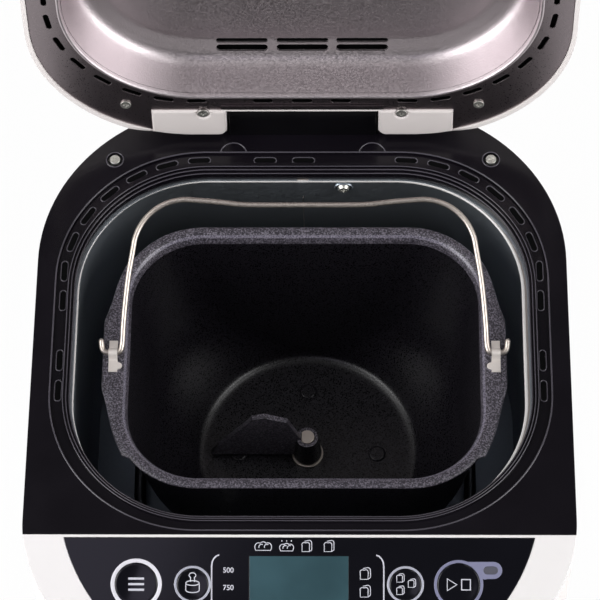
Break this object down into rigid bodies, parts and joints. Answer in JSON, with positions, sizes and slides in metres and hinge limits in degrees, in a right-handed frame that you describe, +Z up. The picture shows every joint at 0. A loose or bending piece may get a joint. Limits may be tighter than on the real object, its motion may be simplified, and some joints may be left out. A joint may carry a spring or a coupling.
{
  "type": "bread machine",
  "caption": "Automatic bread maker with a hinged open lid, lift-out baking pan with bail handle and kneading paddle, sloping control panel, vented deck, oven and belt drive.",
  "frame": {"origin": "on the bench, under the centre of the bounding box of the rest pose, in which the lid stands open", "axes": "+X towards the machine's right side as its user sees it from the control panel, +Y towards the hinge at the back, +Z up"},
  "size_m": [0.286, 0.3675, 0.4869],
  "materials": {
    "white_plastic": "fine satin",
    "white_gloss": "gloss",
    "black_gloss": "gloss",
    "silver_trim": "satin silver paint",
    "clear_lens": "gloss",
    "lcd_glass": "gloss",
    "dark_plastic": "satin",
    "deck_plastic": "fine grain",
    "board_green": "solder mask",
    "copper_coil": "varnished",
    "relay_blue": "satin",
    "ceramic": "glazed",
    "rubber": "matte",
    "zinc_steel": "zinc plated",
    "bright_steel": "polished",
    "liner_steel": "aluminised",
    "lid_steel": "satin",
    "element_steel": "heat darkened",
    "motor_steel": "bare lamination",
    "cast_alloy": "as cast",
    "sintered_bronze": "sintered",
    "cast_iron_dark": "as cast",
    "nonstick_coat": "speckled non-stick coating"
  },
  "bodies": {
    "body": {"base_tray": "dark_plastic", "rubber_feet": "rubber", "base_screws": "zinc_steel", "body_shell": "white_plastic", "cord_gland": "dark_plastic", "front_bezel": "white_gloss", "control_panel": "black_gloss", "button_rings": "silver_trim", "indicator_lens": "clear_lens", "lcd_window": "lcd_glass", "lcd_module": "dark_plastic", "control_board": "board_green", "tact_switches": "dark_plastic", "power_board": "board_green", "transformer": "copper_coil", "relay": "relay_blue", "top_deck": "deck_plastic", "hinge_block": "dark_plastic", "hinge_pins": "zinc_steel", "deck_screws": "zinc_steel", "oven_liner": "liner_steel", "oven_floor": "liner_steel", "liner_screw": "zinc_steel", "oven_supports": "zinc_steel", "heating_element": "element_steel", "heater_terminals": "ceramic", "temperature_sensor": "zinc_steel", "thermal_fuse": "ceramic", "chassis_plate": "zinc_steel", "bearing_housing": "cast_alloy", "drive_bearing": "sintered_bronze", "pan_socket": "cast_alloy", "drive_belt": "rubber", "motor": "motor_steel", "motor_screws": "zinc_steel"},
    "drive": {"drive_shaft": "bright_steel", "drive_coupler": "cast_iron_dark", "large_pulley": "dark_plastic"},
    "motor_rotor": {"motor_shaft": "bright_steel", "motor_pulley": "cast_alloy"},
    "pan": {"bread_pan": "nonstick_coat", "pan_base_ring": "cast_alloy", "pan_rivets": "nonstick_coat", "handle_clips": "bright_steel", "pan_bush": "bright_steel", "pan_seal": "rubber"},
    "pan_spindle": {"pan_shaft": "bright_steel", "pan_coupler": "cast_iron_dark"},
    "paddle": {"kneading_paddle": "nonstick_coat"},
    "bail": {"bail_handle": "bright_steel"},
    "lid": {"lid_shell": "white_plastic", "lid_liner": "lid_steel", "lid_screws": "zinc_steel", "hinge_arms": "white_plastic"},
    "menu_button": {"menu_button": "black_gloss"},
    "weight_button": {"weight_button": "black_gloss"},
    "crust_button": {"crust_button": "black_gloss"},
    "start_button": {"start_button": "black_gloss"},
    "time_up_button": {"time_up_button": "black_gloss"},
    "time_down_button": {"time_down_button": "black_gloss"}
  },
  "joints": [
    {"name": "lid_hinge", "type": "hinge", "parent": "body", "child": "lid", "pos_m": [0, 0.1242, 0.24], "axis": [-1, 0, 0], "range_deg": [-98.4, 0]},
    {"name": "pan_lift", "type": "slide", "parent": "body", "child": "pan", "axis": [0, 0, 1], "range_m": [0, 0.2]},
    {"name": "bail_swing", "type": "hinge", "parent": "pan", "child": "bail", "pos_m": [0.0016, -0.0125, 0.21285], "axis": [1, 0, 0], "range_deg": [-20, 150]},
    {"name": "drive_spin", "type": "hinge", "parent": "body", "child": "drive", "pos_m": [0.0016, -0.0125, 0.066], "axis": [0, 0, 1], "continuous": true},
    {"name": "motor_spin", "type": "hinge", "parent": "body", "child": "motor_rotor", "pos_m": [0.062, -0.14339, 0.03], "axis": [0, 0, 1], "continuous": true},
    {"name": "pan_spindle_spin", "type": "hinge", "parent": "pan", "child": "pan_spindle", "pos_m": [0.0016, -0.0125, 0.08], "axis": [0, 0, 1], "continuous": true},
    {"name": "paddle_lift", "type": "slide", "parent": "pan_spindle", "child": "paddle", "axis": [0, 0, 1], "range_m": [0, 0.03]},
    {"name": "menu_button_press", "type": "slide", "parent": "body", "child": "menu_button", "axis": [0, 0.4695, -0.8829], "range_m": [0, 0.0008], "stiffness_N_per_m": 400},
    {"name": "weight_button_press", "type": "slide", "parent": "body", "child": "weight_button", "axis": [0, 0.4695, -0.8829], "range_m": [0, 0.0008], "stiffness_N_per_m": 400},
    {"name": "crust_button_press", "type": "slide", "parent": "body", "child": "crust_button", "axis": [0, 0.4695, -0.8829], "range_m": [0, 0.0008], "stiffness_N_per_m": 400},
    {"name": "start_button_press", "type": "slide", "parent": "body", "child": "start_button", "axis": [0, 0.4695, -0.8829], "range_m": [0, 0.0008], "stiffness_N_per_m": 400},
    {"name": "time_up_button_press", "type": "slide", "parent": "body", "child": "time_up_button", "axis": [0, 0.4695, -0.8829], "range_m": [0, 0.0008], "stiffness_N_per_m": 400},
    {"name": "time_down_button_press", "type": "slide", "parent": "body", "child": "time_down_button", "axis": [0, 0.4695, -0.8829], "range_m": [0, 0.0008], "stiffness_N_per_m": 400}
  ],
  "couplings": [
    {"joint": "motor_spin", "follows": "drive_spin", "ratio": 7.6},
    {"joint": "pan_spindle_spin", "follows": "drive_spin", "ratio": 1}
  ]
}
